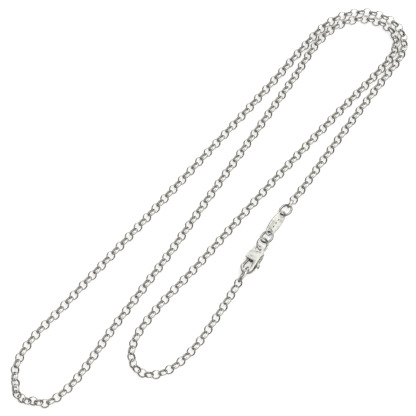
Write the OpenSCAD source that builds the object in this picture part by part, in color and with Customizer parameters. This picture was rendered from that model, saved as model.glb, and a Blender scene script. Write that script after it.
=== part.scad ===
// Rolo chain necklace, fastened and laid down flat, folded into four strands side by side.
// Millimetres. The surface it lies on is z = 0 and +Y runs along the strands.
// The outer strand lies at -X, and the tag and clasp join the strand at +X into a loop.

/* [Chain] */
// Outer diameter of a chain link
link_od = 2.5; // [2.3:0.1:2.8]
// Thickness of a link's band, measured in from its rim
link_t = 0.22; // [0.18:0.02:0.3]
// Width of a link's band, along the link's own axis
link_w = 0.55; // [0.4:0.05:0.65]
// How far the middle of the band's outer face domes out
link_dome = 0.12; // [0.06:0.01:0.16]
// Lean of the links, to one side and then to the other
link_lean = 45; // [42:1:48]
// Clear gap between two links that hang in each other
link_gap = 0.13; // [0.12:0.01:0.2]
// How much closer the links sit where the chain turns, for each radian of turn
bend_slack = 0.45; // [0.4:0.05:0.8]
// Links from the catch ring to the plain run, in percent of the whole chain's
links_before_run = 62; // [39:1:64]
// Links from the plain run to the tag, in percent of the whole chain's
links_after_run = 13.5; // [6.5:0.5:14.5]
// Diameter of the plain run, which stands for the links between those two
run_d = 2; // [1.8:0.1:2]
// Distance between two cross-sections of the plain run
run_step = 5; // [4:0.5:6]

/* [Rings] */
// Outer diameter of the two tag rings and the clasp ring
ring_od = 3.8; // [3.6:0.1:4.2]
// Wire diameter of the two tag rings and the clasp ring
ring_wire = 0.5; // [0.45:0.05:0.55]
// Outer diameter of the catch ring
catch_od = 4.9; // [4.8:0.1:5.2]
// Wire diameter of the catch ring
catch_wire = 0.5; // [0.45:0.05:0.55]
// Clear gap between a ring and what hangs in it
ring_gap = 0.25; // [0.2:0.01:0.4]

/* [Tag] */
// Length of the tag
tag_l = 8.4; // [8:0.2:10]
// Width of the tag across its middle
tag_w = 3.1; // [2.9:0.1:3.3]
// Thickness of the tag
tag_t = 0.45; // [0.4:0.05:0.5]
// Radius of the tag's two ends
tag_end_r = 1.05; // [1:0.05:1.1]
// Diameter of the tag's two holes
tag_hole_d = 1.4; // [1.35:0.05:1.45]
// Metal left between a hole and the tag's end
tag_wall = 0.5; // [0.4:0.05:0.55]
// Length of one engraved lozenge on the tag
mark_l = 0.8; // [0.5:0.1:1]
// Distance between the middles of two lozenges
mark_step = 1.2; // [1.1:0.05:1.4]
// Depth of the engraved lozenges
mark_depth = 0.08; // [0.04:0.02:0.14]

/* [Clasp] */
// Length of the clasp from its eye end to its hook
clasp_l = 9.2; // [8.9:0.1:9.6]
// Width of the clasp over its shoulders
clasp_w = 4; // [3.8:0.1:4.4]
// Thickness of the clasp at its shoulders
clasp_t = 2; // [1.8:0.1:2.2]
// Radius of the clasp's eye end
eye_r = 1.5; // [1.4:0.05:1.6]
// Diameter of the hole in the eye
eye_hole_d = 1.7; // [1.65:0.05:1.8]
// Metal left between the hole and the eye's end
eye_wall = 0.4; // [0.35:0.05:0.45]
// Thickness of the eye
eye_t = 0.5; // [0.45:0.05:0.6]
// Outer radius of the hook's bow
bow_r = 1.8; // [1.7:0.05:1.9]
// How far the bow sits to the trigger's side of the eye
bow_shift = 1; // [0.8:0.05:1.1]
// Width of the hook's bar
bar_w = 0.75; // [0.7:0.05:0.85]
// Thickness of the hook at its end
bow_t = 1.1; // [1:0.05:1.2]
// Clear gap between the trigger's arm and the hook's tip
tip_gap = 0.12; // [0.08:0.01:0.2]

/* [Trigger] */
// Thickness of the trigger's lever
lever_t = 0.6; // [0.5:0.05:0.7]
// Clear gap on each face of the lever, in its slot
lever_gap = 0.1; // [0.08:0.01:0.12]
// Width of the lever's two arms
arm_w = 0.55; // [0.45:0.05:0.6]
// Radius of the lever around its pin
hub_r = 0.52; // [0.48:0.02:0.58]
// Diameter of the pin
pin_d = 0.6; // [0.5:0.02:0.64]
// Clearance of the lever's bore around the pin
pin_play = 0.04; // [0.02:0.01:0.06]
// Distance from the pin to the middle of the thumb nub
nub_reach = 3.7; // [3.6:0.05:4]
// Length of the thumb nub
nub_l = 1.2; // [0.9:0.1:1.4]
// Width of the thumb nub
nub_w = 0.5; // [0.4:0.05:0.6]
// Thickness of the thumb nub
nub_t = 1.1; // [0.8:0.1:1.3]

/* [Hidden] */

// Chosen points of the chain's centre line from the catch ring round to the tag, in columns:
// x, y, and lift of the links above the height at which they rest
ROUTE = [
    [16.7, -20.5, 0], [17.4, -28, 0], [17.8, -36, 0], [17.2, -42.5, 0], [15.8, -46.9, 0],
    [13.6, -49.9, 0], [10.6, -51.3, 0], [7.5, -50.6, 0], [5.2, -48.3, 0], [3.9, -45, 0],
    [3.3, -41, 0], [3.4, -32, 0], [4.4, -20, 0], [5.3, -2, 0], [6.2, 14, 0], [7.4, 30, 0],
    [8.8, 46, 0], [10, 58, 0], [10.3, 64, 0], [9.8, 68, 0], [8, 71.2, 0], [5.4, 72.7, 0],
    [2.6, 72.9, 0], [-0.6, 72.2, 0], [-3.6, 70.6, 0], [-6.2, 67.7, 0], [-8.2, 63.6, 0],
    [-9.1, 59, 0], [-9.1, 53, 0], [-8.1, 44, 0], [-7, 29, 0], [-5.9, 12, 0], [-4.8, -5, 0],
    [-3.7, -20, 0], [-3.1, -34, 0], [-2.6, -47, 0], [-1.8, -57, 0], [-1.6, -63, 0],
    [-2.2, -68.4, 0], [-3.6, -71.9, 0], [-6.2, -74.2, 0], [-9.4, -75.2, 0], [-12.4, -74.2, 0],
    [-14.8, -71.9, 0], [-16.7, -68.5, 0], [-17.6, -64, 0], [-17.7, -59, 0], [-17, -51, 0],
    [-16.3, -38, 0], [-15.4, -24, 0], [-14.5, -8, 0], [-13.6, 8, 0], [-12.7, 24, 0],
    [-12, 40, 0], [-11.6, 54, 0], [-11, 61.5, 0], [-9.4, 66.7, 0], [-6.6, 70.9, 0],
    [-3, 73.7, 0], [1.2, 75.1, 0], [5.2, 75.1, 0], [8.6, 73.6, 0], [11.1, 70.8, 0],
    [12.4, 66.8, 0], [12.6, 60, 0], [12.8, 46, 0], [13.3, 31, 0], [13.9, 18, 0]
];

// Plan position of the tag's middle
tag_at = [14.05, 3.8];
// Headings on the surface, in degrees from +X, from each piece of the fastening to the next
tag_heading = -88;
upper_ring_heading = 90;
lower_ring_heading = -78;
clasp_ring_heading = -82;
eye_heading = -90;
clasp_heading = -73.6;
catch_heading = -83;
first_link_heading = -86;
// Lean of each piece, positive where its upper face turns towards +X
upper_ring_lean = -25;
tag_lean = 30;
lower_ring_lean = -25;
clasp_ring_lean = 40;
clasp_lean = -12;
catch_lean = -74;
// Climb of the clasp from its eye to its hook, which lies on the catch ring
clasp_rise = 6.5;
// How far the eye's hole sits beyond and above the clasp ring's wire
eye_drop = 0.2;
eye_lift = 0.1;
// How far the tag rings sit beyond the middles of the tag's holes
tag_drop = 0.12;
// Lift of the first link, which hangs in the upright catch ring
first_link_lift = 0.45;

link_in = link_od / 2 - link_t;
link_pitch = 2 * sqrt(link_in * link_in - link_w * link_w / 4) - link_gap;
link_rest = (link_od / 2 - link_dome) * sin(link_lean) + link_w / 2 * cos(link_lean);
dome_r = (link_w * link_w / 4 + link_dome * link_dome) / (2 * link_dome);
ring_in = ring_od / 2 - ring_wire;
ring_mid = (ring_od - ring_wire) / 2;
catch_in = catch_od / 2 - catch_wire;
catch_mid = (catch_od - catch_wire) / 2;
tag_hole_x = tag_l / 2 - tag_wall - tag_hole_d / 2;

// Plan of the clasp, with its eye's hole at the origin and its hook along +X
eye_back = eye_hole_d / 2 + eye_wall;
shoulder_r = 0.6;
shoulder_x = 1.4;
slope_from = 0.7;
slope_to = 2.65;
flat_to = 3.6;
bow_at = [clasp_l - eye_back - bow_r, -bow_shift];
bow_in = bow_r - bar_w;
window_foot = [3.5, -clasp_w / 2 - 0.2];
window_top = [4.25, bow_at.y + bow_in];
tip_x = bow_at.x - 0.3;
slot_from = 1.6;
slot_to = tip_x - 0.1;
slot_t = lever_t + 2 * lever_gap;
pivot = [3, -1.35];
slot_back = pivot.x - hub_r - lever_gap;
gate_angle = -21;
thumb_angle = 56;
gate_reach = norm([tip_x, bow_at.y - bow_in] - pivot) - tip_gap;
pin_seat = 0.02;

function heading(a) = [cos(a), sin(a), 0];

// A vector of a piece's own frame, turned by its lean, its climb and its heading
function turned(v, lean, rise, way) =
    let (
        a = [v.x, v.y * cos(lean) + v.z * sin(lean), v.z * cos(lean) - v.y * sin(lean)],
        b = [a.x * cos(rise) - a.z * sin(rise), a.y, a.x * sin(rise) + a.z * cos(rise)]
    )
    [b.x * cos(way) - b.y * sin(way), b.x * sin(way) + b.y * cos(way), b.z];

tag_z = tag_w / 2 * sin(tag_lean) + tag_t / 2 * cos(tag_lean);
tag_mid = [tag_at.x, tag_at.y, tag_z];
upper_ring_at = tag_mid - tag_hole_x * heading(tag_heading)
    + (ring_mid + tag_drop) * heading(upper_ring_heading);
lower_ring_at = tag_mid + tag_hole_x * heading(tag_heading)
    + (ring_mid + tag_drop) * heading(lower_ring_heading);
clasp_ring_z = ring_mid * sin(clasp_ring_lean) + ring_wire / 2;
clasp_ring_at = [0, 0, clasp_ring_z - tag_z] + lower_ring_at
    + (2 * ring_in - ring_gap) * heading(clasp_ring_heading);
eye_at = clasp_ring_at + (ring_mid + eye_drop) * heading(eye_heading) + [0, 0, eye_lift];
hook_at = eye_at + turned([bow_at.x + bow_in, bow_at.y, 0], clasp_lean, clasp_rise, clasp_heading);
catch_z = catch_mid * abs(sin(catch_lean)) + catch_wire / 2;
hook_t = clasp_t - (clasp_t - bow_t) * (bow_at.x + bow_in - flat_to) / (bow_at.x + bow_r - flat_to);
catch_reach = sqrt(pow(catch_in - ring_gap, 2) - pow(catch_z - hook_at.z + hook_t / 2, 2));
catch_at = [hook_at.x, hook_at.y, catch_z] + catch_reach * heading(catch_heading);
first_drop = catch_z - link_rest - first_link_lift;
first_reach = sqrt(pow(catch_in + link_in - ring_gap, 2) - pow(first_drop, 2));
first_link_at = catch_at - [0, 0, first_drop] + first_reach * heading(first_link_heading);
last_link_at = [0, 0, link_rest - tag_z] + upper_ring_at
    + (ring_in + link_in - ring_gap) * heading(upper_ring_heading);

// A point of the smooth curve through four route points, where t runs from the second to the third
function curve(a, b, c, d, t) =
    let (
        leave = (c - a) * norm(c - b) / (norm(c - b) + norm(b - a)),
        arrive = (d - b) * norm(c - b) / (norm(d - c) + norm(c - b))
    )
    b * (2 * pow(t, 3) - 3 * pow(t, 2) + 1) + c * (3 * pow(t, 2) - 2 * pow(t, 3))
    + leave * (pow(t, 3) - 2 * pow(t, 2) + t) + arrive * (pow(t, 3) - pow(t, 2));

path = concat([first_link_at], [for (row = ROUTE) [row.x, row.y, link_rest + row.z]], [last_link_at]);
last = len(path) - 1;
curve_steps = 8;
line = [
    for (i = [0 : last - 1], k = [0 : curve_steps - 1])
        curve(path[max(i - 1, 0)], path[i], path[i + 1], path[min(i + 2, last)], k / curve_steps),
    path[last]
];
// Chain taken up between two steps of the line, with the slack of its turn
function taken(i) =
    let (
        a = line[i] - line[max(i - 1, 0)],
        b = line[min(i + 1, len(line) - 1)] - line[i],
        turn = i == 0 || i == len(line) - 1 ? 0 : acos(min(1, a * b / (norm(a) * norm(b)))) * PI / 180
    )
    norm(b) + bend_slack * turn;

reach = [for (i = 0, s = 0; i < len(line); s = s + taken(i), i = i + 1) s];
along_x = [for (i = [0 : len(line) - 1]) [reach[i], line[i].x]];
along_y = [for (i = [0 : len(line) - 1]) [reach[i], line[i].y]];
along_z = [for (i = [0 : len(line) - 1]) [reach[i], line[i].z]];

// Place and direction of the centre line at distance s from the first link
function at(s) = [lookup(s, along_x), lookup(s, along_y), max(link_rest, lookup(s, along_z))];
function way(s) = at(s + 0.4) - at(s - 0.4);

chain_l = reach[len(reach) - 1];
link_count = 1 + 2 * ceil(chain_l / link_pitch / 2);
link_step = chain_l / (link_count - 1);
last_before_run = floor((link_count - 1) * links_before_run / 100);
first_after_run = ceil((link_count - 1) * (1 - links_after_run / 100));
run_from = last_before_run * link_step + link_od / 2 + link_gap;
run_to = first_after_run * link_step - link_od / 2 - link_gap;
run_rings = ceil((run_to - run_from) / run_step);
run_sides = 8;

// Points of an arc, without its last point, which the next arc starts from
function arc(c, r, from, to, n) =
    [for (i = [0 : n - 1]) c + r * [cos(from + (to - from) * i / n), sin(from + (to - from) * i / n)]];

// Outline of a belt drawn round circles listed anticlockwise as [centre, radius]
function belt(circles) =
    let (
        n = len(circles),
        normals = [
            for (i = [0 : n - 1])
                let (c = circles[i], d = circles[(i + 1) % n], run = d[0] - c[0])
                atan2(run.y, run.x) - acos((c[1] - d[1]) / norm(run))
        ]
    )
    [
        for (i = [0 : n - 1])
            let (
                from = normals[(i + n - 1) % n],
                turn = (normals[i] - from + 720) % 360
            )
            each concat(
                arc(circles[i][0], circles[i][1], from, from + turn, ceil(turn / 8)),
                [circles[i][0] + circles[i][1] * [cos(normals[i]), sin(normals[i])]]
            )
    ];

// Puts a piece with its length along X at a place, with its heading, lean and climb
module lay(place, way, lean, rise = 0) {
    translate(place) rotate([0, -rise, way]) rotate([-lean, 0, 0]) children();
}

// One link, with its band flat inside and domed outside
module link() {
    rotate_extrude($fn = 48) intersection() {
        translate([link_od / 2 - dome_r, 0]) circle(r = dome_r, $fn = 48);
        translate([link_in, -link_w / 2]) square([link_t, link_w]);
    }
}

module link_number(i) {
    run = way(i * link_step);
    lean = i % 2 == 0 ? link_lean : -link_lean;
    lay(at(i * link_step), atan2(run.y, run.x), lean, asin(run.z / norm(run))) link();
}

module chain_links() {
    color("silver") {
        for (i = [0 : last_before_run]) link_number(i);
        for (i = [first_after_run : link_count - 1]) link_number(i);
    }
}

module chain_run() {
    points = [
        for (i = [0 : run_rings])
            let (
                s = run_from + (run_to - run_from) * i / run_rings,
                run = way(s),
                side = [-run.y, run.x, 0] / norm([run.x, run.y])
            )
            for (k = [0 : run_sides - 1])
                let (a = (k + 0.5) * 360 / run_sides)
                at(s) + run_d / 2 * (cos(a) * side + [0, 0, sin(a)])
    ];
    start = [for (k = [0 : run_sides - 1]) k];
    end = [for (k = [0 : run_sides - 1]) run_rings * run_sides + run_sides - 1 - k];
    walls = [
        for (i = [0 : run_rings - 1], k = [0 : run_sides - 1])
            let (a = i * run_sides + k, b = i * run_sides + (k + 1) % run_sides)
            [a, a + run_sides, b + run_sides, b]
    ];
    color("silver") polyhedron(points, concat([start], walls, [end]));
}

module hoop(od, wire) {
    rotate_extrude($fn = 64) translate([(od - wire) / 2, 0]) circle(d = wire, $fn = 32);
}

module tag() {
    end_x = tag_l / 2 - tag_end_r;
    half_w = tag_w / 2;
    side_r = (end_x * end_x + half_w * half_w - tag_end_r * tag_end_r) / (2 * (half_w - tag_end_r));
    meet = atan2(side_r - half_w, end_x);
    outline = concat(
        arc([end_x, 0], tag_end_r, -meet, meet, 16),
        arc([0, half_w - side_r], side_r, meet, 180 - meet, 12),
        arc([-end_x, 0], tag_end_r, 180 - meet, 180 + meet, 16),
        arc([0, side_r - half_w], side_r, 180 + meet, 360 - meet, 12)
    );
    color("gainsboro") lay(tag_mid, tag_heading, tag_lean) difference() {
        linear_extrude(tag_t, center = true) polygon(outline);
        for (x = [-tag_hole_x, tag_hole_x])
            translate([x, 0, 0]) cylinder(d = tag_hole_d, h = 2 * tag_t, center = true, $fn = 48);
        for (i = [-1 : 1])
            translate([i * mark_step, 0, tag_t / 2 - mark_depth]) lozenge(mark_l, mark_l / 2, tag_t);
    }
}

module lozenge(l, w, h) {
    linear_extrude(h) polygon([[-l / 2, 0], [0, -w / 2], [l / 2, 0], [0, w / 2]]);
}

module upper_tag_ring() {
    color("silver") lay(upper_ring_at, upper_ring_heading + 180, upper_ring_lean) hoop(ring_od, ring_wire);
}

module lower_tag_ring() {
    color("silver") lay(lower_ring_at, lower_ring_heading, lower_ring_lean) hoop(ring_od, ring_wire);
}

module clasp_ring() {
    color("silver") lay(clasp_ring_at, clasp_ring_heading, clasp_ring_lean) hoop(ring_od, ring_wire);
}

module catch_ring() {
    color("silver") lay(catch_at, catch_heading, catch_lean) hoop(catch_od, catch_wire);
}

module on_clasp() {
    lay(eye_at, clasp_heading, clasp_lean, clasp_rise) children();
}

module clasp_body() {
    shoulder_y = clasp_w / 2 - shoulder_r;
    outline = belt([
        [[eye_r - eye_back, 0], eye_r],
        [[shoulder_x, -shoulder_y], shoulder_r],
        [bow_at, bow_r],
        [[shoulder_x, shoulder_y], shoulder_r]
    ]);
    half_side = [
        [-eye_back - 1, eye_t / 2], [slope_from, eye_t / 2], [slope_to, clasp_t / 2],
        [flat_to, clasp_t / 2], [bow_at.x + bow_r, bow_t / 2]
    ];
    side = concat(half_side, [for (i = [len(half_side) - 1 : -1 : 0]) [half_side[i].x, -half_side[i].y]]);
    color("gainsboro") on_clasp() difference() {
        intersection() {
            linear_extrude(clasp_t, center = true) polygon(outline);
            rotate([90, 0, 0]) linear_extrude(2 * clasp_w, center = true) polygon(side);
        }
        linear_extrude(2 * clasp_t, center = true) clasp_window();
        translate([bow_at.x, bow_at.y, 0]) cylinder(r = bow_in, h = 2 * clasp_t, center = true, $fn = 64);
        linear_extrude(slot_t, center = true) clasp_slot();
        cylinder(d = eye_hole_d, h = 2 * clasp_t, center = true, $fn = 64);
        translate([pivot.x, pivot.y, 0])
            cylinder(d = pin_d + 2 * pin_seat, h = 2 * clasp_t, center = true, $fn = 48);
    }
}

// Plan of the opening from the shoulder to the hook's tip, which the trigger closes
module clasp_window() {
    polygon([
        [window_foot.x, -clasp_w], window_foot, window_top, [bow_at.x, window_top.y], bow_at,
        [tip_x, bow_at.y], [tip_x, -clasp_w]
    ]);
}

// Plan of the slot between the clasp's cheeks, open at both sides
module clasp_slot() {
    polygon([
        [slot_from, clasp_w], [slot_from, clasp_w / 4], [slot_back, pivot.y], [slot_back, -clasp_w],
        [slot_to, -clasp_w], [slot_to, clasp_w]
    ]);
}

module clasp_trigger() {
    nub = pivot + nub_reach * [cos(thumb_angle), sin(thumb_angle)];
    color("gainsboro") on_clasp() difference() {
        union() {
            linear_extrude(lever_t, center = true) {
                translate(pivot) circle(r = hub_r, $fn = 48);
                translate(pivot) rotate(gate_angle) intersection() {
                    translate([0, -arm_w / 2]) square([gate_reach, arm_w]);
                    circle(r = gate_reach, $fn = 96);
                }
                translate(pivot) rotate(thumb_angle) translate([0, -arm_w / 2]) square([nub_reach, arm_w]);
            }
            linear_extrude(nub_t, center = true) translate(nub) {
                square([nub_l - nub_w, nub_w], center = true);
                for (x = [-1, 1]) translate([x * (nub_l - nub_w) / 2, 0]) circle(d = nub_w, $fn = 32);
            }
        }
        translate([pivot.x, pivot.y, 0])
            cylinder(d = pin_d + 2 * pin_play, h = 2 * clasp_t, center = true, $fn = 48);
    }
}

module clasp_pin() {
    color("silver") on_clasp() translate([pivot.x, pivot.y, 0])
        cylinder(d = pin_d, h = clasp_t, center = true, $fn = 48);
}

chain_links();
chain_run();
tag();
upper_tag_ring();
lower_tag_ring();
clasp_ring();
catch_ring();
clasp_body();
clasp_trigger();
clasp_pin();
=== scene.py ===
"""Rolo chain necklace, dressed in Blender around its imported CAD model.

Lengths are metres. The surface it lies on is z = 0, and the strands run along Y.
"""

from math import asin, atan2, cos, degrees, pi, radians, sin

import bmesh
import bpy
from bpy.props import FloatProperty, FloatVectorProperty, IntProperty, PointerProperty
from bpy.types import Operator, Panel, PropertyGroup
from mathutils import Matrix, Vector


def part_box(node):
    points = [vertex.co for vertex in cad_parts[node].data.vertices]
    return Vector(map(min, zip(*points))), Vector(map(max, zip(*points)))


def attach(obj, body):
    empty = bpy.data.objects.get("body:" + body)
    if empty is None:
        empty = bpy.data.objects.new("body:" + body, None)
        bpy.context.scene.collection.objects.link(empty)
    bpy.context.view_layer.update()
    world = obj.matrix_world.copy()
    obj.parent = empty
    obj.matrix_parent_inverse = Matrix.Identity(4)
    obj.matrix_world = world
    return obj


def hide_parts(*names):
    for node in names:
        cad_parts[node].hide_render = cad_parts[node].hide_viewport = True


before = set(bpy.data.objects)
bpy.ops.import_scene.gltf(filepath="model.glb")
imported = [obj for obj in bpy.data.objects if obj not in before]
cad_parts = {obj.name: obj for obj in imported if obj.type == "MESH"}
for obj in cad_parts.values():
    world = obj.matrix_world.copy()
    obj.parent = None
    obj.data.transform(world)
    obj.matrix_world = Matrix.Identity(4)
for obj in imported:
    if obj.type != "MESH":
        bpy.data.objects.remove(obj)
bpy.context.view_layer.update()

bl_info = {
    "name": "Rolo Chain Necklace",
    "version": (1, 0, 0),
    "blender": (4, 5, 0),
    "location": "3D View > Sidebar > Necklace",
    "description": "Links, rings, tag and lobster clasp of a rolo chain necklace, with its studio",
    "category": "Object",
}

MM = 0.001

# Centre line of the chain from the catch ring round to the tag, in millimetres: its two ends,
# the height of all between them, and their x and y
LINE_START = (16.3148, -16.4131, 1.4435)
LINE_END = (13.9453, 10.7482, 0.9935)
REST_Z = 0.9935
ROUTE = (
    (16.7, -20.5), (17.4, -28), (17.8, -36), (17.2, -42.5), (15.8, -46.9), (13.6, -49.9),
    (10.6, -51.3), (7.5, -50.6), (5.2, -48.3), (3.9, -45), (3.3, -41), (3.4, -32), (4.4, -20),
    (5.3, -2), (6.2, 14), (7.4, 30), (8.8, 46), (10, 58), (10.3, 64), (9.8, 68), (8, 71.2),
    (5.4, 72.7), (2.6, 72.9), (-0.6, 72.2), (-3.6, 70.6), (-6.2, 67.7), (-8.2, 63.6),
    (-9.1, 59), (-9.1, 53), (-8.1, 44), (-7, 29), (-5.9, 12), (-4.8, -5), (-3.7, -20),
    (-3.1, -34), (-2.6, -47), (-1.8, -57), (-1.6, -63), (-2.2, -68.4), (-3.6, -71.9),
    (-6.2, -74.2), (-9.4, -75.2), (-12.4, -74.2), (-14.8, -71.9), (-16.7, -68.5),
    (-17.6, -64), (-17.7, -59), (-17, -51), (-16.3, -38), (-15.4, -24), (-14.5, -8),
    (-13.6, 8), (-12.7, 24), (-12, 40), (-11.6, 54), (-11, 61.5), (-9.4, 66.7), (-6.6, 70.9),
    (-3, 73.7), (1.2, 75.1), (5.2, 75.1), (8.6, 73.6), (11.1, 70.8), (12.4, 66.8),
    (12.6, 60), (12.8, 46), (13.3, 31), (13.9, 18),
)

# Distance along the line of some links, in millimetres, with the others spaced evenly between
SPACING = (
    (0, 0), (4, 7.55), (16, 30.1), (20, 37.5), (21, 39.26), (23, 42.91), (26, 48.4),
    (59, 109.6), (87, 161.4), (92, 169.8), (96, 176.7), (98, 180.3), (130, 238.8),
    (175, 321.6), (180, 329.5), (183, 334), (187, 341), (213, 388.7), (235, 429.1),
    (259, 473.2), (265, 484.4), (276, 504), (288, 526.4), (303, 554.3), (306, 559.69),
    (307, 561.37),
)
# Sideways shift of some links where the strand crumples, in millimetres, left of its travel
SHIFT = (
    (174, 0), (175, 0.1), (176, 0.2), (177, -0.2), (178, -0.45), (179, -0.05), (180, 0.05),
    (181, 0.35), (182, 0.1), (183, -0.2), (184, 0), (185, 0.1), (186, 0),
)
# Links in all, and the first one in the place of the CAD's plain run and the first one past it
LINK_COUNT = 308
RUN_LINKS = (190, 265)
# Lean in degrees of the last links, which the upper tag ring holds up
END_LEANS = {306: 35, 307: -83}
# Unevenness of the links' lean and heading, in degrees, and their paces, in radians a link
UNEVEN = 1.2
LEAN_PACE, HEADING_PACE = 2.4, 1.7

# Steps of the chain's line between two route points
LINE_STEPS = 12
# Distance each way over which the line's direction is taken, in millimetres
WAY_REACH = 0.4

# Radius of the rounded corners of a link's band, in millimetres
BAND_CORNER = 0.055
# Points up the domed face of the band: shares of its half width and of the dome's rise
DOME_POINTS = ((0.88, 0.25), (0.46, 0.78))
# Share of painted shade and tarnish inside a link, and how much less of it there is at the link's
# two ends, where its neighbours meet it
INSIDE_SHADE_TARNISH, LESS_AT_JOINTS = 0.6, 0.5

# Heading and lean of each ring in degrees, as the CAD lays it
RING_LAY = {
    "upper_tag_ring": (270, -25),
    "lower_tag_ring": (-78, -25),
    "clasp_ring": (-82, 40),
    "catch_ring": (-83, -74),
}
# Share of painted darkening on each ring's wire: painted dark reflection at its hole side and its
# rim, and painted shade at its front end and its back end, where its neighbours pass through
RING_SHADE = {
    "upper_tag_ring": (1, 0.9, 0.9, 0.9),
    "lower_tag_ring": (1, 0.9, 0.9, 0.9),
    "clasp_ring": (0.6, 0.9, 0, 0.9),
    "catch_ring": (0.4, 0, 0.6, 0.6),
}
# How narrow the painted shade at the ends of a ring is, as a power
END_POWER = 14
# Steps round a ring and round its wire
RING_STEPS, WIRE_STEPS = 120, 24
# Where the seam lies round each ring, in radians
SEAM_TURN = 1.9

# Heading, lean and climb of the tag and the clasp, in degrees
TAG_LAY = (-88, 30, 0)
CLASP_LAY = (-73.6, -12, 6.5)
# Middle of the clasp's eye in millimetres
EYE_PLACE = (14.878, -5.305, 1.411)
# Painted shade on the clasp and the lever: the middle of the cheeks and of the nub as seen from
# the eye, the distances from there where it begins and is full, and how much of it the faces
# take. On the lever it is a painted shadow of the cheek over the gate arm, light at the nub
CLASP_REACH = ((3.9, 1.2, 0), 2.9, 1.9, 0.0)
LEVER_REACH = ((5.07, 1.72, 0), 1.6, 2.6, 0.5)
# Half the length, width and height of the box that holds the tag's engraved floors
MARKS_BOX = (1.8, 0.27, 0.205)
# Half the length and width of the space around them, and the share of the edge width there
MARKS_SPACE = (2.2, 0.5)
MARKS_EDGE = 0.14

# Meshes of the CAD: gap closed in millimetres, and angles in degrees under which faces are one,
# above which an edge is rounded, and above which shading stays sharp
MERGE_GAP = 0.002
FLAT_ANGLE, EDGE_ANGLE, SHARP_ANGLE = 0.4, 35, 32
# Steps across a rounded edge
EDGE_STEPS = 3

# Scale and detail of each finish's noise: its soft clouds, and its scratches or brush marks
CHAIN_CLOUD, CHAIN_SCRATCH = (700.0, 3.0), (9000.0, 2.0)
RING_CLOUD, RING_SCRATCH = (500.0, 3.0), (7000.0, 2.0)
PLATE_CLOUD, PLATE_BRUSH = (600.0, 3.0), (1100.0, 4.0)
PAPER_FIBRE = (600.0, 3.0)
# How many times longer than wide the brush marks are
BRUSH_STRETCH = 14
# Depths of scratches, brush marks and paper fibre in millimetres, and how strongly they show
SCRATCH_DEPTH, BRUSH_DEPTH, FIBRE_DEPTH = 0.004, 0.008, 0.01
METAL_BUMP, PAPER_BUMP = 0.25, 0.1
# Roughness of each finish at its brightest, and what the clouds and the painted shade and tarnish
# add to it
CHAIN_ROUGHNESS = (0.1, 0.08, 0.2)
RING_ROUGHNESS = (0.09, 0.1, 0.25)
# The same for the clasp and the tag, where the brush marks add to it in place of the painted shade
# and tarnish
PLATE_ROUGHNESS = (0.2, 0.08, 0.12)
# Share of the painted shade and tarnish that shows between the clouds, and what the clouds add to
# it
CHAIN_SHOWS = (0.6, 0.5)
RING_SHOWS = (0.7, 0.5)
# How far a face of the clasp or tag turns up where it is all wall, and where it is no wall
WALL_TURN = (0.6, 0.9)
# Tone of the clouds where wear begins and where it is full
WEAR_TONE = (0.4, 0.75)
# Share of painted shade on the engraved floors, and of their box within which it is full
MARKS_SHADE, MARKS_FULL = 0.9, 0.9
# Share of fibre that shows in the paper, and its tone beside the paper's colour
FIBRE_SHARE, FIBRE_TONE = 0.3, 0.9

# Camera and the point it looks at in millimetres, the width of its sensor, and its clip range
CAMERA_PLACE = (85.3, -121.4, 348.1)
CAMERA_TARGET = (-3.344, -3.73, 1.05)
SENSOR_WIDTH = 36
CLIP_RANGE = (0.01, 20)
# Heights of the paper and of the card under it in millimetres, and half their width in metres
PAPER_Z, CARD_Z = -0.08, -0.1
PAPER_HALF = 2.0
# Name, place, size and share of the key light's power of each light
LIGHTS = (
    ("key_light", (0.1, 0.25, 1.0), 0.6, 1.0),
    ("fill_light", (-0.2, -0.8, 0.6), 0.5, 0.3),
)
# Open side of the tent, how far towards it the tent starts to dim and is dim, and by how much
OPEN_SIDE = (-0.7986, -0.6018, 0)
DIM_FROM, DIM_FULL, DIM_SHARE = 0.28, 0.53, 0.96


# Sizes and colours that a user would change


class ChainSettings(PropertyGroup):
    """Sizes of one link of the chain."""

    link_od: FloatProperty(
        name="Link diameter", description="Outer diameter of a link",
        default=2.54 * MM, unit="LENGTH", precision=5)
    band_t: FloatProperty(
        name="Band thickness", description="Thickness of a link's band, measured in from its rim",
        default=0.22 * MM, unit="LENGTH", precision=5)
    band_w: FloatProperty(
        name="Band width", description="Width of a link's band along the link's own axis",
        default=0.68 * MM, unit="LENGTH", precision=5)
    dome: FloatProperty(
        name="Dome", description="How far the middle of the band's outer face domes out",
        default=0.12 * MM, unit="LENGTH", precision=5)
    lean: FloatProperty(
        name="Lean", description="Lean of the links, to one side and then to the other",
        default=radians(43), unit="ROTATION")
    tip: FloatProperty(
        name="Tip", description="How far the whole chain rolls over towards -X from an even lean",
        default=radians(5), unit="ROTATION")
    facets: IntProperty(
        name="Facets", description="Steps round one link", default=36, min=16, max=48)


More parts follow.
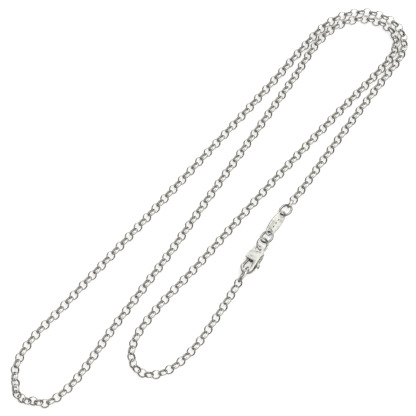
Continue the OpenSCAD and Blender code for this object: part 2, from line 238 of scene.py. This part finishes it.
class FittingSettings(PropertyGroup):
    """Sizes of the rings and rounded edges of the tag and clasp."""

    ring_od: FloatProperty(
        name="Ring diameter", description="Outer diameter of the tag rings and the clasp ring",
        default=3.9 * MM, unit="LENGTH", precision=5)
    catch_od: FloatProperty(
        name="Catch ring diameter", description="Outer diameter of the catch ring",
        default=4.98 * MM, unit="LENGTH", precision=5)
    wire_t: FloatProperty(
        name="Wire thickness", description="Thickness of the rings' wire, from hole to rim",
        default=0.55 * MM, unit="LENGTH", precision=5)
    wire_w: FloatProperty(
        name="Wire width", description="Width of the rings' wire, along a ring's own axis",
        default=0.65 * MM, unit="LENGTH", precision=5)
    seam_depth: FloatProperty(
        name="Seam depth", description="Depth of the closed seam across a ring's wire",
        default=0.05 * MM, unit="LENGTH", precision=5)
    clasp_edge: FloatProperty(
        name="Clasp edge", description="Width of the rounded edges of the clasp",
        default=0.12 * MM, unit="LENGTH", precision=5)
    trigger_edge: FloatProperty(
        name="Trigger edge", description="Width of the rounded edges of the trigger",
        default=0.16 * MM, unit="LENGTH", precision=5)
    pin_edge: FloatProperty(
        name="Pin edge", description="Width of the rounded edges of the clasp's pin",
        default=0.05 * MM, unit="LENGTH", precision=5)
    tag_edge: FloatProperty(
        name="Tag edge", description="Width of the rounded edges of the tag",
        default=0.18 * MM, unit="LENGTH", precision=5)


class FinishSettings(PropertyGroup):
    """Colours of the silver."""

    chain_colour: FloatVectorProperty(
        name="Chain silver", description="Colour of the chain's polished silver",
        default=(0.86, 0.85, 0.83), subtype="COLOR", size=3, min=0, max=1)
    ring_colour: FloatVectorProperty(
        name="Ring silver", description="Colour of the rings' polished silver",
        default=(0.85, 0.84, 0.82), subtype="COLOR", size=3, min=0, max=1)
    plate_colour: FloatVectorProperty(
        name="Plate silver", description="Colour of the clasp's and tag's silver",
        default=(0.94, 0.94, 0.9), subtype="COLOR", size=3, min=0, max=1)
    # Dull silver also colours the painted shade and tarnish inside each link
    dull_and_shade_colour: FloatVectorProperty(
        name="Dull silver", description="Colour of the silver where it has gone dull",
        default=(0.3, 0.28, 0.23), subtype="COLOR", size=3, min=0, max=1)
    # Also the colour of painted shade and painted dark reflection on the rings, the plates' walls,
    # the lever and the engraved floors, and of the tarnish in the rings' seams
    tarnish_colour: FloatVectorProperty(
        name="Tarnish", description="Colour of the flanks and cut walls, which no cloth reaches",
        default=(0.17, 0.155, 0.13), subtype="COLOR", size=3, min=0, max=1)


class StudioSettings(PropertyGroup):
    """Camera, floor and light."""

    lens: FloatProperty(
        name="Lens", description="Focal length of the camera on a 36 mm sensor",
        default=119.5, unit="CAMERA")
    floor_colour: FloatVectorProperty(
        name="Floor", description="Colour of the surface the necklace lies on",
        default=(0.93, 0.93, 0.93), subtype="COLOR", size=3, min=0, max=1)
    floor_glow: FloatProperty(
        name="Floor glow", description="Light that comes through the floor from below",
        default=0.45, min=0)
    card_colour: FloatVectorProperty(
        name="Floor card", description="Colour of the card that the silver mirrors as its floor",
        default=(0.33, 0.32, 0.295), subtype="COLOR", size=3, min=0, max=1)
    tent_colour: FloatVectorProperty(
        name="Tent", description="Colour of the lit tent overhead",
        default=(0.93, 0.93, 0.91), subtype="COLOR", size=3, min=0, max=1)
    surround_colour: FloatVectorProperty(
        name="Surround", description="Colour of the dim room around the light tent",
        default=(0.03, 0.027, 0.022), subtype="COLOR", size=3, min=0, max=1)
    key_power: FloatProperty(
        name="Key light", description="Power of the soft light over the necklace",
        default=1.2, unit="POWER", min=0)


# Shader maths


class Signal:
    """A socket of a node tree that Python's operators build Math nodes from."""

    def __init__(self, sheet, socket):
        self.sheet = sheet
        self.socket = socket

    def _with(self, operation, *values):
        inputs = dict(enumerate(values))
        return self.sheet.node("ShaderNodeMath", {"operation": operation}, inputs, "Value")

    def __add__(self, other):
        return self._with("ADD", self, other)

    def __radd__(self, other):
        return self._with("ADD", other, self)

    def __sub__(self, other):
        return self._with("SUBTRACT", self, other)

    def __rsub__(self, other):
        return self._with("SUBTRACT", other, self)

    def __mul__(self, other):
        return self._with("MULTIPLY", self, other)

    def __rmul__(self, other):
        return self._with("MULTIPLY", other, self)

    def __abs__(self):
        return self._with("ABSOLUTE", self)


class Sheet:
    """The node tree of one finish, or of the world."""

    def __init__(self, tree):
        self.tree = tree
        tree.nodes.clear()

    def node(self, kind, settings=None, inputs=None, output=0):
        """Adds a node: its settings first, then the values or links of its sockets."""
        node = self.tree.nodes.new(kind)
        for name, value in (settings or {}).items():
            setattr(node, name, value)
        for key, value in (inputs or {}).items():
            if isinstance(value, Signal):
                self.tree.links.new(value.socket, node.inputs[key])
            else:
                node.inputs[key].default_value = value
        return Signal(self, node.outputs[output]) if node.outputs else node

    def part(self, vector, axis):
        """How far a vector reaches along an axis."""
        return self.node(
            "ShaderNodeVectorMath", {"operation": "DOT_PRODUCT"}, {0: vector, 1: axis}, "Value")

    def blend(self, factor, first, second):
        """Mixes two colours."""
        return self.node(
            "ShaderNodeMix", {"data_type": "RGBA"}, {0: factor, 6: first, 7: second}, 2)

    def rise(self, value, low, high):
        """Climbs smoothly from 0 to 1 as a value goes from low to high."""
        return self.node(
            "ShaderNodeMapRange", {"interpolation_type": "SMOOTHSTEP"},
            {"Value": value, "From Min": low, "From Max": high}, "Result")

    def noise(self, place, scale, detail):
        return self.node(
            "ShaderNodeTexNoise", None, {"Vector": place, "Scale": scale, "Detail": detail}, "Fac")

    def bump(self, height, depth, strength=METAL_BUMP):
        """Normal of a surface with this height, whose depth is in millimetres."""
        return self.node(
            "ShaderNodeBump", None,
            {"Height": height, "Strength": strength, "Distance": depth * MM}, "Normal")


def rgba(colour):
    return (*colour, 1)


def metal(name, paint):
    """A material whose metal shader takes its base colour, roughness and normal from paint."""
    material = bpy.data.materials.new(name)
    material.use_nodes = True
    sheet = Sheet(material.node_tree)
    base, roughness, normal = paint(sheet)
    shader = sheet.node(
        "ShaderNodeBsdfPrincipled", None,
        {"Base Color": base, "Metallic": 1.0, "Roughness": roughness, "Normal": normal}, "BSDF")
    sheet.node("ShaderNodeOutputMaterial", None, {"Surface": shader})
    return material


def object_place(sheet):
    return sheet.node("ShaderNodeTexCoord", None, None, "Object")


def shade_tarnish_share(sheet):
    """Share of painted shade and tarnish that each vertex of a drawn piece carries."""
    return sheet.node("ShaderNodeAttribute", {"attribute_name": "shade_and_tarnish"}, None, "Fac")


def chain_silver(finish):
    """Polished silver with painted shade and tarnish on the inside of each link, less at its two
    ends where its neighbours meet it.
    """

    def paint(sheet):
        place = object_place(sheet)
        cloud = sheet.noise(place, *CHAIN_CLOUD)
        scratches = sheet.bump(sheet.noise(place, *CHAIN_SCRATCH), SCRATCH_DEPTH)
        shows, clouded = CHAIN_SHOWS
        shade_tarnish = shade_tarnish_share(sheet) * (shows + clouded * cloud)
        base = sheet.blend(shade_tarnish, rgba(finish.chain_colour), rgba(finish.dull_and_shade_colour))
        bright, by_cloud, by_shade_tarnish = CHAIN_ROUGHNESS
        return base, bright + by_cloud * cloud + by_shade_tarnish * shade_tarnish, scratches

    return metal("chain_polished_silver", paint)


def ring_silver(finish):
    """Polished silver wire, tarnished in its seam, with painted dark reflection down its flanks
    and painted shade at its ends.
    """

    def paint(sheet):
        place = object_place(sheet)
        cloud = sheet.noise(place, *RING_CLOUD)
        scratches = sheet.bump(sheet.noise(place, *RING_SCRATCH), SCRATCH_DEPTH)
        shade_tarnish = shade_tarnish_share(sheet)
        shows, clouded = RING_SHOWS
        tarnish = shade_tarnish * (shows + clouded * cloud)
        base = sheet.blend(tarnish, rgba(finish.ring_colour), rgba(finish.tarnish_colour))
        bright, by_cloud, by_shade_tarnish = RING_ROUGHNESS
        return base, bright + by_cloud * cloud + by_shade_tarnish * shade_tarnish, scratches

    return metal("ring_polished_silver", paint)


def plate_silver(finish, name, middle, lay, wear, tarnish, reach=None, marks=None):
    """Satin silver, brushed along the piece, worn in a soft cloud, with painted shade on its
    walls.

    Wear and darkening are the shares of the worn cloud and of the painted shade where each is
    full. Reach gives a spot, the distances from it where the painted shade begins and where it
    is full, and how much of it the faces take. Marks gives half the length, width and height of
    a box in the piece's middle, where sunk floors get painted shade.
    """

    def paint(sheet):
        heading, lean, climb = lay
        place = sheet.node(
            "ShaderNodeMapping", {"vector_type": "TEXTURE"},
            {"Vector": object_place(sheet), "Location": middle,
             "Rotation": (-radians(lean), -radians(climb), radians(heading))}, "Vector")
        along = sheet.node(
            "ShaderNodeVectorMath", {"operation": "MULTIPLY"},
            {0: place, 1: (1, BRUSH_STRETCH, BRUSH_STRETCH)}, "Vector")
        brushed = sheet.noise(along, *PLATE_BRUSH)
        cloud = sheet.noise(place, *PLATE_CLOUD)
        outward = sheet.node("ShaderNodeTexCoord", None, None, "Normal")
        up = laid(Vector(), *lay).to_3x3() @ Vector((0, 0, 1))
        # Painted shade on the walls: faces that don't turn up take the shade colour
        wall = 1 - sheet.rise(abs(sheet.part(outward, up)), *WALL_TURN)
        if reach:
            spot, begins, full, faces = reach
            away = sheet.node(
                "ShaderNodeVectorMath", {"operation": "DISTANCE"},
                {0: place, 1: Vector(spot) * MM}, "Value")
            wall = sheet.rise(away, begins * MM, full * MM) * (faces + (1 - faces) * wall)
        worn = wear * sheet.rise(cloud, *WEAR_TONE)
        base = sheet.blend(worn, rgba(finish.plate_colour), rgba(finish.dull_and_shade_colour))
        base = sheet.blend(tarnish * wall, base, rgba(finish.tarnish_colour))
        # Painted shade on the engraved floors
        if marks:
            sunk = MARKS_SHADE
            for axis, half in zip(Matrix.Identity(3), marks):
                off = sheet.rise(abs(sheet.part(place, axis)), MARKS_FULL * half, half)
                sunk = sunk * (1 - off)
            base = sheet.blend(sunk, base, rgba(finish.tarnish_colour))
        bright, by_cloud, by_brush = PLATE_ROUGHNESS
        roughness = bright + by_brush * brushed + by_cloud * cloud
        return base, roughness, sheet.bump(brushed, BRUSH_DEPTH)

    return metal(name, paint)


# Places and paths


def laid(place, heading, lean, climb=0):
    """Matrix of a piece whose length runs along X, laid as the CAD lays it."""
    turn = Matrix.Rotation(radians(heading), 4, "Z") @ Matrix.Rotation(-radians(climb), 4, "Y")
    return Matrix.Translation(place) @ turn @ Matrix.Rotation(-radians(lean), 4, "X")


def between(table, at):
    """Value of a table of pairs at a place between two of its rows."""
    if at <= table[0][0]:
        return table[0][1]
    for (low, first), (high, second) in zip(table, table[1:]):
        if at <= high:
            return first + (second - first) * (at - low) / (high - low)
    return table[-1][1]


def curve_point(a, b, c, d, t):
    """A point of the smooth curve through four route points, between the middle two."""
    leave = (c - a) * ((c - b).length / ((c - b).length + (b - a).length))
    arrive = (d - b) * ((c - b).length / ((d - c).length + (c - b).length))
    return (
        b * (2 * t**3 - 3 * t**2 + 1) + c * (3 * t**2 - 2 * t**3)
        + leave * (t**3 - 2 * t**2 + t) + arrive * (t**3 - t**2))


class ChainLine:
    """The chain's centre line, measured along its length."""

    def __init__(self):
        knots = [Vector(LINE_START)] + [Vector((x, y, REST_Z)) for x, y in ROUTE]
        knots = [knot * MM for knot in knots + [Vector(LINE_END)]]
        last = len(knots) - 1
        self.points = []
        for i in range(last):
            around = (knots[max(i - 1, 0)], knots[i], knots[i + 1], knots[min(i + 2, last)])
            self.points += [curve_point(*around, k / LINE_STEPS) for k in range(LINE_STEPS)]
        self.points.append(knots[last])
        self.reach = [0.0]
        for a, b in zip(self.points, self.points[1:]):
            self.reach.append(self.reach[-1] + (b - a).to_2d().length)

    def at(self, distance):
        """Place on the line at a distance from its start, going straight on past its ends."""
        i = 0
        while i < len(self.reach) - 2 and self.reach[i + 1] < distance:
            i += 1
        part = (distance - self.reach[i]) / (self.reach[i + 1] - self.reach[i])
        return self.points[i].lerp(self.points[i + 1], part)

    def way(self, distance):
        """The line's direction at a distance from its start."""
        return self.at(distance + WAY_REACH * MM) - self.at(distance - WAY_REACH * MM)


# Mesh building


def new_piece(name, vertices, faces, material, shade_and_tarnish=None):
    """A smooth-shaded object of vertices and faces, with the share of painted shade and tarnish at
    each vertex.
    """
    mesh = bpy.data.meshes.new(name)
    mesh.from_pydata(vertices, [], faces)
    mesh.validate()
    if shade_and_tarnish is not None:
        mesh.attributes.new("shade_and_tarnish", "FLOAT", "POINT").data.foreach_set("value", shade_and_tarnish)
    mesh.shade_smooth()
    mesh.materials.append(material)
    piece = bpy.data.objects.new(name, mesh)
    bpy.context.scene.collection.objects.link(piece)
    return piece


def closed_faces(first, steps, count):
    """Faces of a closed tube of steps rounds, each of count vertices, from its first vertex."""
    for i in range(steps):
        near, far = first + i * count, first + (i + 1) % steps * count
        for k in range(count):
            after = (k + 1) % count
            yield near + k, far + k, far + after, near + after


def link_profile(chain):
    """Cross-section of a link's band as (radius, height, share of painted shade and tarnish),
    anticlockwise from inside.
    """
    outer, half = chain.link_od / 2, chain.band_w / 2
    inner, corner = outer - chain.band_t, BAND_CORNER * MM
    rim = outer - chain.dome
    upper = [
        (inner, half - corner, 1.0),
        (inner + corner, half, 0.5),
        (rim - corner * 0.5, half, 0.2),
    ]
    upper += [(rim + chain.dome * rise, half * share, 0.0) for share, rise in DOME_POINTS]
    lower = [(radius, -height, shade_and_tarnish) for radius, height, shade_and_tarnish in upper]
    return lower + [(outer, 0.0, 0.0)] + upper[::-1]


def spun(profile, steps, matrix, vertices, faces, shade_and_tarnish):
    """Adds a closed profile turned round the Z axis, with its painted shade and tarnish least at
    its two ends along X.
    """
    faces.extend(closed_faces(len(vertices), steps, len(profile)))
    for i in range(steps):
        turn = 2 * pi * i / steps
        # Painted shade and tarnish inside the link, less towards its two ends along X
        joint = INSIDE_SHADE_TARNISH - LESS_AT_JOINTS * cos(turn) ** 6
        for radius, height, shade_tarnish in profile:
            vertices.append(matrix @ Vector((radius * cos(turn), radius * sin(turn), height)))
            shade_and_tarnish.append(shade_tarnish * joint)


def link_matrix(line, chain, number):
    """Place, heading and lean of one link, rolled a little as a laid chain's links are."""
    distance = between(SPACING, number) * MM
    place, way = line.at(distance), line.way(distance)
    side = Vector((-way.y, way.x, 0)).normalized()
    lean = chain.lean if number % 2 == 0 else -chain.lean
    if 1 < number < min(END_LEANS):
        lean += radians(UNEVEN) * sin(number * LEAN_PACE) - chain.tip * side.x
    if number in END_LEANS:
        lean = radians(END_LEANS[number])
    half, rim = chain.band_w / 2, chain.link_od / 2 - chain.dome
    lift = max(0, place.z - REST_Z * MM)
    place.z = lift + rim * abs(sin(lean)) + half * cos(lean)
    place += side * between(SHIFT, number) * MM
    heading = degrees(atan2(way.y, way.x)) + UNEVEN * sin(number * HEADING_PACE)
    climb = degrees(asin(way.z / way.length))
    return laid(place, heading, degrees(lean), climb)


def links_piece(name, numbers, chain, material):
    """One joined mesh of the links with these numbers."""
    line, profile = ChainLine(), link_profile(chain)
    vertices, faces, shade_and_tarnish = [], [], []
    for number in numbers:
        spun(profile, chain.facets, link_matrix(line, chain, number), vertices, faces, shade_and_tarnish)
    return new_piece(name, vertices, faces, material, shade_and_tarnish)


def ring_piece(name, node, od, fittings, material):
    """A ring of oval wire with a closed seam, in the place of its CAD node."""
    low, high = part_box(node)
    matrix = laid((low + high) / 2, *RING_LAY[node])
    hole, rim, front, back = RING_SHADE[node]
    thick, wide = fittings.wire_t / 2, fittings.wire_w / 2
    middle = od / 2 - thick
    vertices, shade_and_tarnish = [], []
    for i in range(RING_STEPS):
        turn = 2 * pi * i / RING_STEPS + SEAM_TURN
        along, aside = cos(turn), sin(turn)
        end = abs(along) ** END_POWER * (front if along > 0 else back)
        seam = 1.0 if i == 0 else 0.0
        sunk = seam * fittings.seam_depth
        for k in range(WIRE_STEPS):
            round_wire = 2 * pi * k / WIRE_STEPS
            across = cos(round_wire)
            out, height = middle + (thick - sunk) * across, (wide - sunk) * sin(round_wire)
            vertices.append(matrix @ Vector((out * along, out * aside, height)))
            # Painted dark reflection down the flanks, painted shade at the ends where neighbours
            # pass through, tarnish in the seam
            flank = across**2 * (rim if across > 0 else hole)
            shade_and_tarnish.append(max(seam, flank, end))
    faces = list(closed_faces(0, RING_STEPS, WIRE_STEPS))
    return new_piece(name, vertices, faces, material, shade_and_tarnish)


def eased_piece(name, node, width, material, share=None):
    """The form of a CAD node with its sharp edges rounded over.

    A share function may give the part of the full width that an edge takes, from its middle.
    """
    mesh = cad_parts[node].data.copy()
    mesh.name = name
    mesh.materials.clear()
    mesh.materials.append(material)
    shape = bmesh.new()
    shape.from_mesh(mesh)
    bmesh.ops.remove_doubles(shape, verts=shape.verts, dist=MERGE_GAP * MM)
    bmesh.ops.dissolve_limit(
        shape, angle_limit=radians(FLAT_ANGLE), verts=shape.verts, edges=shape.edges)
    weight = shape.edges.layers.float.new("bevel_weight_edge")
    for edge in shape.edges:
        if edge.is_manifold and edge.calc_face_angle() > radians(EDGE_ANGLE):
            middle = (edge.verts[0].co + edge.verts[1].co) / 2
            edge[weight] = share(middle) if share else 1.0
    shape.to_mesh(mesh)
    shape.free()
    piece = bpy.data.objects.new(name, mesh)
    bpy.context.scene.collection.objects.link(piece)
    bevel = piece.modifiers.new("rounded_edges", "BEVEL")
    bevel.width, bevel.segments = width, EDGE_STEPS
    bevel.limit_method = "WEIGHT"
    bevel.use_clamp_overlap = True
    bevel.harden_normals = False
    piece.modifiers.new("face_normals", "WEIGHTED_NORMAL").keep_sharp = True
    bpy.context.view_layer.update()
    finished = bpy.data.meshes.new_from_object(
        piece.evaluated_get(bpy.context.evaluated_depsgraph_get()))
    piece.modifiers.clear()
    piece.data = finished
    finished.shade_smooth()
    finished.set_sharp_from_angle(angle=radians(SHARP_ANGLE))
    return piece


def aimed(place, target):
    """Matrix of a camera or light at a place, aimed at a target."""
    turn = (target - place).to_track_quat("-Z", "Y").to_matrix().to_4x4()
    return Matrix.Translation(place) @ turn


def put_on(piece, body, slot, *nodes):
    """Rides a piece on its body, in the place of its CAD nodes."""
    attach(piece, body)
    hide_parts(*nodes)


# Operators


class NECKLACE_OT_studio(Operator):
    """Make the camera, the floor and the soft light"""

    bl_idname = "necklace.studio"
    bl_label = "Studio"

    def execute(self, context):
        studio = context.scene.necklace_studio
        self.camera(context.scene, studio)
        self.floor(studio)
        self.lights(context.scene, studio)
        self.surround(context.scene, studio)
        return {"FINISHED"}

    def camera(self, scene, studio):
        data = bpy.data.cameras.new("camera")
        data.lens, data.sensor_width = studio.lens, SENSOR_WIDTH
        data.clip_start, data.clip_end = CLIP_RANGE
        camera = bpy.data.objects.new("camera", data)
        camera.matrix_world = aimed(Vector(CAMERA_PLACE) * MM, Vector(CAMERA_TARGET) * MM)
        scene.collection.objects.link(camera)
        scene.camera = camera
        scene.view_settings.view_transform = "Standard"

    def floor(self, studio):
        """White paper for the eye, and a greyer card that the silver mirrors in its place."""
        paper = self.sheet_of_paper("floor", studio.floor_colour, studio.floor_glow, PAPER_Z * MM)
        paper.visible_glossy = paper.visible_diffuse = paper.visible_shadow = False
        # The card's grey is painted shade: the silver mirrors a dimmer floor than the white paper
        card = self.sheet_of_paper("floor_card", studio.card_colour, 0.0, CARD_Z * MM)
        card.visible_camera = False

    def sheet_of_paper(self, name, colour, glow, height):
        ends = (-PAPER_HALF, PAPER_HALF)
        corners = [(x, y, 0) for x in ends for y in ends]
        material = bpy.data.materials.new(name + "_paper")
        material.use_nodes = True
        sheet = Sheet(material.node_tree)
        fibre = sheet.noise(object_place(sheet), *PAPER_FIBRE)
        toned = rgba([FIBRE_TONE * c for c in colour])
        base = sheet.blend(FIBRE_SHARE * fibre, rgba(colour), toned)
        shader = sheet.node(
            "ShaderNodeBsdfPrincipled", None,
            {"Base Color": base, "Roughness": 0.9, "Specular IOR Level": 0.1,
             "Emission Color": rgba((1, 1, 1)), "Emission Strength": glow,
             "Normal": sheet.bump(fibre, FIBRE_DEPTH, PAPER_BUMP)}, "BSDF")
        sheet.node("ShaderNodeOutputMaterial", None, {"Surface": shader})
        paper = new_piece(name, corners, [(0, 2, 3, 1)], material)
        paper.location.z = height
        return paper

    def lights(self, scene, studio):
        for name, place, size, share in LIGHTS:
            data = bpy.data.lights.new(name, "AREA")
            data.shape, data.size, data.energy = "DISK", size, studio.key_power * share
            light = bpy.data.objects.new(name, data)
            light.matrix_world = aimed(Vector(place), Vector())
            scene.collection.objects.link(light)

    def surround(self, scene, studio):
        """A white tent, open at its left side to a dim room."""
        world = bpy.data.worlds.new("tent")
        scene.world = world
        world.use_nodes = True
        sheet = Sheet(world.node_tree)
        way = sheet.node("ShaderNodeTexCoord", None, None, "Generated")
        lit = 1 - DIM_SHARE * sheet.rise(sheet.part(way, OPEN_SIDE), DIM_FROM, DIM_FULL)
        tone = sheet.blend(lit, rgba(studio.surround_colour), rgba(studio.tent_colour))
        glow = sheet.node(
            "ShaderNodeBackground", None, {"Color": tone, "Strength": 1.0}, "Background")
        sheet.node("ShaderNodeOutputWorld", None, {"Surface": glow})


class NECKLACE_OT_chain(Operator):
    """Draw every link of the chain"""

    bl_idname = "necklace.chain"
    bl_label = "Chain"

    def execute(self, context):
        chain = context.scene.necklace_chain
        silver = chain_silver(context.scene.necklace_finish)
        before, after = RUN_LINKS
        shown = list(range(before)) + list(range(after, LINK_COUNT))
        put_on(links_piece("chain_near_links", shown, chain, silver),
               "necklace", "chain_silver", "chain_links")
        put_on(links_piece("chain_far_links", range(before, after), chain, silver),
               "necklace", "chain_silver", "chain_run")
        return {"FINISHED"}


class NECKLACE_OT_rings(Operator):
    """Draw the two tag rings, the clasp ring and the catch ring"""

    bl_idname = "necklace.rings"
    bl_label = "Rings"

    def execute(self, context):
        fittings = context.scene.necklace_fittings
        silver = ring_silver(context.scene.necklace_finish)
        for node in RING_LAY:
            od = fittings.catch_od if node == "catch_ring" else fittings.ring_od
            piece = ring_piece(node + "_wire", node, od, fittings, silver)
            put_on(piece, "necklace", "ring_silver", node)
        return {"FINISHED"}


class NECKLACE_OT_tag(Operator):
    """Draw the oval tag"""

    bl_idname = "necklace.tag"
    bl_label = "Tag"

    def execute(self, context):
        scene = context.scene
        low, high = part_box("tag")
        silver = plate_silver(
            scene.necklace_finish, "tag_satin_silver", (low + high) / 2, TAG_LAY,
            wear=0.6, tarnish=0.85, marks=Vector(MARKS_BOX) * MM)
        piece = eased_piece(
            "tag_plate", "tag", scene.necklace_fittings.tag_edge, silver, self.edge_share)
        put_on(piece, "necklace", "plate_silver", "tag")
        return {"FINISHED"}

    def edge_share(self, place):
        """The engraved lozenges keep crisp edges, and the plate's own take the full width."""
        low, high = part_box("tag")
        along = Vector((cos(radians(TAG_LAY[0])), sin(radians(TAG_LAY[0])), 0))
        offset = place - (low + high) / 2
        reach = offset.dot(along)
        aside = (offset - along * reach).length
        half_length, half_width = MARKS_SPACE
        engraved = abs(reach) < half_length * MM and aside < half_width * MM
        return MARKS_EDGE if engraved else 1.0


class NECKLACE_OT_clasp(Operator):
    """Draw the clasp's body, trigger and pin"""

    bl_idname = "necklace.clasp"
    bl_label = "Clasp"

    def execute(self, context):
        fittings = context.scene.necklace_fittings
        finish = context.scene.necklace_finish
        eye = Vector(EYE_PLACE) * MM
        silver = plate_silver(
            finish, "clasp_satin_silver", eye, CLASP_LAY,
            wear=0.05, tarnish=0.85, reach=CLASP_REACH)
        body = eased_piece("clasp_cast_body", "clasp_body", fittings.clasp_edge, silver)
        put_on(body, "necklace", "plate_silver", "clasp_body")
        shaded_lever_silver = plate_silver(
            finish, "lever_satin_silver", eye, CLASP_LAY,
            wear=0.12, tarnish=0.9, reach=LEVER_REACH)
        trigger = eased_piece("clasp_lever", "clasp_trigger", fittings.trigger_edge, shaded_lever_silver)
        put_on(trigger, "trigger", "plate_silver", "clasp_trigger")
        pin = eased_piece("clasp_rivet", "clasp_pin", fittings.pin_edge, silver)
        put_on(pin, "necklace", "ring_silver", "clasp_pin")
        return {"FINISHED"}


class NECKLACE_PT_panel(Panel):
    """Lists the operators and the sizes they use"""

    bl_label = "Rolo chain necklace"
    bl_idname = "NECKLACE_PT_panel"
    bl_space_type = "VIEW_3D"
    bl_region_type = "UI"
    bl_category = "Necklace"

    def draw(self, context):
        for operator in OPERATORS:
            self.layout.operator(operator.bl_idname)
        for name in SETTINGS:
            group = getattr(context.scene, name)
            box = self.layout.box()
            for key in group.__annotations__:
                box.prop(group, key)


SETTINGS = {
    "necklace_chain": ChainSettings,
    "necklace_fittings": FittingSettings,
    "necklace_finish": FinishSettings,
    "necklace_studio": StudioSettings,
}
OPERATORS = (
    NECKLACE_OT_studio, NECKLACE_OT_chain, NECKLACE_OT_rings, NECKLACE_OT_tag, NECKLACE_OT_clasp)


def register():
    for name, group in SETTINGS.items():
        bpy.utils.register_class(group)
        setattr(bpy.types.Scene, name, PointerProperty(type=group))
    for operator in OPERATORS:
        bpy.utils.register_class(operator)
    bpy.utils.register_class(NECKLACE_PT_panel)


def unregister():
    bpy.utils.unregister_class(NECKLACE_PT_panel)
    for operator in reversed(OPERATORS):
        bpy.utils.unregister_class(operator)
    for name, group in SETTINGS.items():
        delattr(bpy.types.Scene, name)
        bpy.utils.unregister_class(group)


def main():
    register()
    bpy.ops.necklace.studio()
    bpy.ops.necklace.chain()
    bpy.ops.necklace.rings()
    bpy.ops.necklace.tag()
    bpy.ops.necklace.clasp()


if __name__ == "__main__":
    main()
